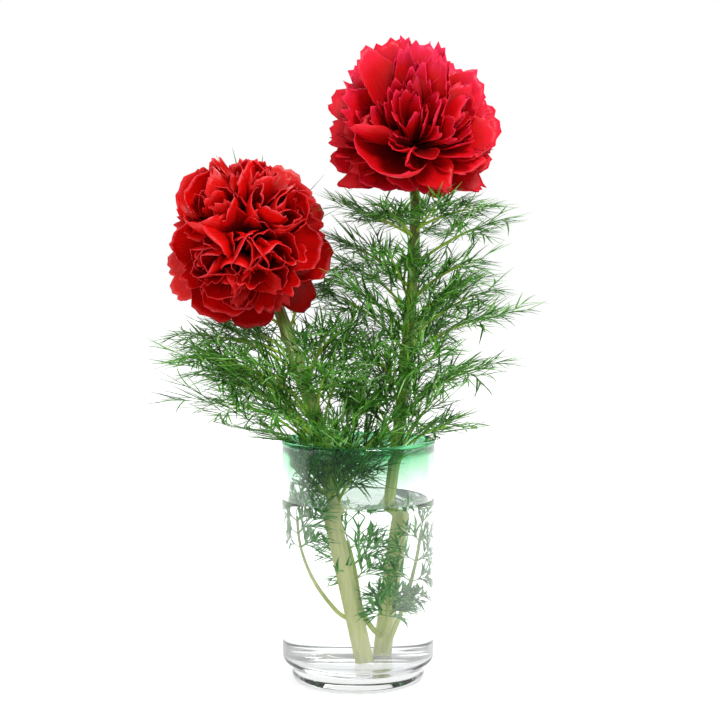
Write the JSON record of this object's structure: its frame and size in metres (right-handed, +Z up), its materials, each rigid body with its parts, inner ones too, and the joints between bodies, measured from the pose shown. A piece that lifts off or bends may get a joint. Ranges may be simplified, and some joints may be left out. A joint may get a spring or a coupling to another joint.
{
  "type": "cut fern-leaf peony flowers in a straight glass vase of water",
  "caption": "Double red fern-leaf peonies with dill-like leaves, standing in a straight clear glass vase with a green-tinted rim, mostly filled with water",
  "frame": {"origin": "the centre of the vase's underside, on the surface that it stands on", "axes": "+Z up along the vase's axis, +X to the right towards the taller flower, +Y away from a viewer whom the lower flower faces"},
  "size_m": [0.179, 0.1234, 0.3117],
  "materials": {
    "clear_glass": "clear, polished, with an emerald green tint that is strongest at the rim and fades out downwards",
    "water": "clear still water, no tint",
    "petal_red": "soft satin petal, deep crimson red with hot pink tips",
    "sepal_green": "matt green, waxy",
    "stem_green": "smooth waxy stem, olive green above and pale yellow green at the cut end",
    "leaf_green": "waxy, dark green with a blue-green bloom"
  },
  "bodies": {
    "root": {"calyx_short": "sepal_green", "calyx_tall": "sepal_green", "leaf_short_high_back": "leaf_green", "leaf_short_high_left": "leaf_green", "leaf_short_low_front": "leaf_green", "leaf_short_low_left": "leaf_green", "leaf_short_mid_back": "leaf_green", "leaf_short_mid_left": "leaf_green", "leaf_short_mid_right": "leaf_green", "leaf_short_rim_back": "leaf_green", "leaf_short_rim_front": "leaf_green", "leaf_short_rim_left": "leaf_green", "leaf_tall_high_front": "leaf_green", "leaf_tall_high_right": "leaf_green", "leaf_tall_low_back": "leaf_green", "leaf_tall_low_front": "leaf_green", "leaf_tall_low_right": "leaf_green", "leaf_tall_mid_back": "leaf_green", "leaf_tall_mid_left": "leaf_green", "leaf_tall_mid_right": "leaf_green", "leaf_tall_rim_right": "leaf_green", "leaf_tall_top_back": "leaf_green", "leaf_water_front": "leaf_green", "leaf_water_left": "leaf_green", "leaf_water_middle": "leaf_green", "leaf_water_right": "leaf_green", "petal_heart_short": "petal_red", "petal_heart_tall": "petal_red", "petal_short_guard_1": "petal_red", "petal_short_guard_2": "petal_red", "petal_short_guard_3": "petal_red", "petal_short_guard_4": "petal_red", "petal_short_guard_5": "petal_red", "petal_short_inner_1": "petal_red", "petal_short_inner_2": "petal_red", "petal_short_inner_3": "petal_red", "petal_short_inner_4": "petal_red", "petal_short_outer_1": "petal_red", "petal_short_outer_2": "petal_red", "petal_short_outer_3": "petal_red", "petal_short_outer_4": "petal_red", "petal_short_outer_5": "petal_red", "petal_tall_guard_1": "petal_red", "petal_tall_guard_2": "petal_red", "petal_tall_guard_3": "petal_red", "petal_tall_guard_4": "petal_red", "petal_tall_guard_5": "petal_red", "petal_tall_inner_1": "petal_red", "petal_tall_inner_2": "petal_red", "petal_tall_inner_3": "petal_red", "petal_tall_inner_4": "petal_red", "petal_tall_outer_1": "petal_red", "petal_tall_outer_2": "petal_red", "petal_tall_outer_3": "petal_red", "petal_tall_outer_4": "petal_red", "petal_tall_outer_5": "petal_red", "stem_short": "stem_green", "stem_tall": "stem_green", "vase": "clear_glass", "water": "water"}
  },
  "joints": []
}
